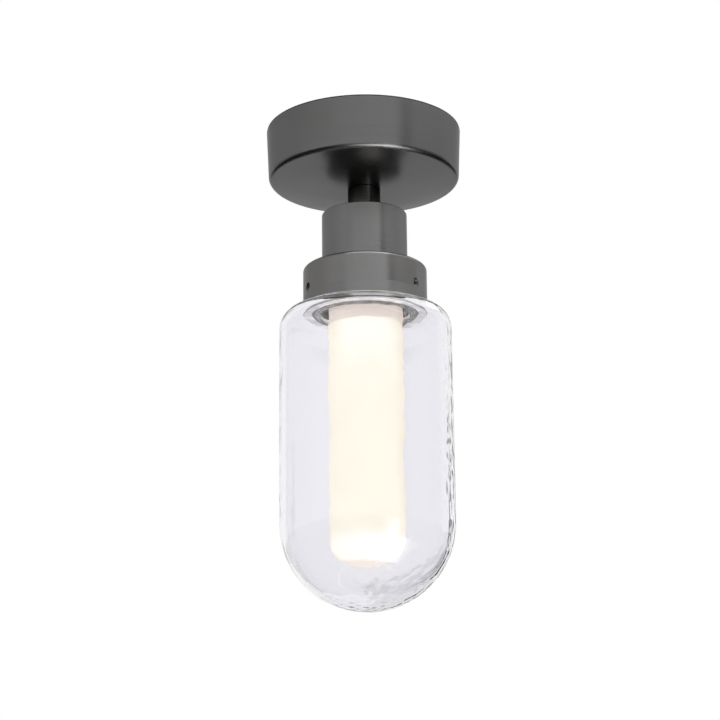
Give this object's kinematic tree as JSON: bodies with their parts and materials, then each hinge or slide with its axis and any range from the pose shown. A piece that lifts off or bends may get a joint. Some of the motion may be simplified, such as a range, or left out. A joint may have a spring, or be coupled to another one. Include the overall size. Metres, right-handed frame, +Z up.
{
  "type": "porch ceiling lantern",
  "caption": "Semi-flush ceiling light: round canopy, short stem, stepped metal cup, clear hammered glass capsule shade over a frosted inner tube with a pin-base lamp.",
  "frame": {"origin": "centre of the ceiling face, where the lamp's axis meets the ceiling", "axes": "+Z up into the ceiling along the lamp's axis; -Y is the side that is usually seen; X runs along the two ceiling slots"},
  "size_m": [0.115, 0.115, 0.2867],
  "materials": {
    "gunmetal": "brushed dark plating",
    "black_nickel": "polished black nickel",
    "dark_screw": "blackened",
    "zinc_plate": "bright zinc",
    "brass": "turned",
    "aluminium": "turned",
    "black_rubber": "matte",
    "silicone": "matte",
    "black_nylon": "moulded",
    "white_nylon": "moulded",
    "white_ceramic": "unglazed",
    "earth_insulation": "green and yellow",
    "neutral_insulation": "blue",
    "live_insulation": "brown",
    "clear_cement": "translucent",
    "lamp_glass": "clear",
    "lamp_glow": "lit",
    "frosted_glass": "frosted, lit from inside",
    "hammered_glass": "clear, hammered"
  },
  "bodies": {
    "fixture": {"ceiling_gasket": "black_rubber", "mounting_bracket": "zinc_plate", "cable_bush": "black_nylon", "terminal_block": "white_nylon", "terminal_inserts": "brass", "terminal_clamp_screws": "zinc_plate", "terminal_fixing_screws": "zinc_plate", "earth_tag": "brass", "earth_screw": "brass", "earth_lead": "earth_insulation", "canopy": "gunmetal", "canopy_screws": "dark_screw", "stem_nipple": "zinc_plate", "upper_lock_washer": "zinc_plate", "upper_nut": "brass", "stem_sleeve": "black_nickel", "stem_seals": "black_rubber", "cup": "gunmetal", "cup_seal": "black_rubber", "lower_washer": "zinc_plate", "lower_nut": "brass", "nipple_bushes": "white_nylon", "collar": "gunmetal", "holder_plate": "zinc_plate", "diffuser_carrier": "aluminium", "carrier_screws": "zinc_plate", "diffuser_seal": "silicone", "lampholder_nipple": "zinc_plate", "lampholder_nut": "brass", "lampholder_cap": "aluminium", "lampholder_body": "white_ceramic", "lampholder_contacts": "brass", "neutral_lead": "neutral_insulation", "live_lead": "live_insulation"},
    "shade": {"glass_shade": "hammered_glass", "shade_ferrule": "aluminium", "shade_cement": "clear_cement", "shade_gasket": "silicone"},
    "diffuser": {"diffuser_tube": "frosted_glass"},
    "lamp": {"lamp_base": "white_ceramic", "lamp_pins": "zinc_plate", "lamp_capsule": "lamp_glass", "lamp_element": "lamp_glow"},
    "shade_screw_1_body": {"shade_screw_1": "dark_screw"},
    "shade_screw_2_body": {"shade_screw_2": "dark_screw"},
    "shade_screw_3_body": {"shade_screw_3": "dark_screw"}
  },
  "joints": [
    {"name": "shade_drop", "type": "slide", "parent": "fixture", "child": "shade", "axis": [0, 0, -1], "range_m": [0, 0.19]},
    {"name": "diffuser_release", "type": "slide", "parent": "fixture", "child": "diffuser", "axis": [0, 0, -1], "range_m": [0, 0.014]},
    {"name": "lamp_pull", "type": "slide", "parent": "fixture", "child": "lamp", "axis": [0, 0, -1], "range_m": [0, 0.015]},
    {"name": "shade_screw_1_release", "type": "slide", "parent": "fixture", "child": "shade_screw_1_body", "axis": [0.809, -0.5878, 0], "range_m": [0, 0.004]},
    {"name": "shade_screw_2_release", "type": "slide", "parent": "fixture", "child": "shade_screw_2_body", "axis": [0.1045, 0.9945, 0], "range_m": [0, 0.004]},
    {"name": "shade_screw_3_release", "type": "slide", "parent": "fixture", "child": "shade_screw_3_body", "axis": [-0.9135, -0.4067, 0], "range_m": [0, 0.004]}
  ]
}
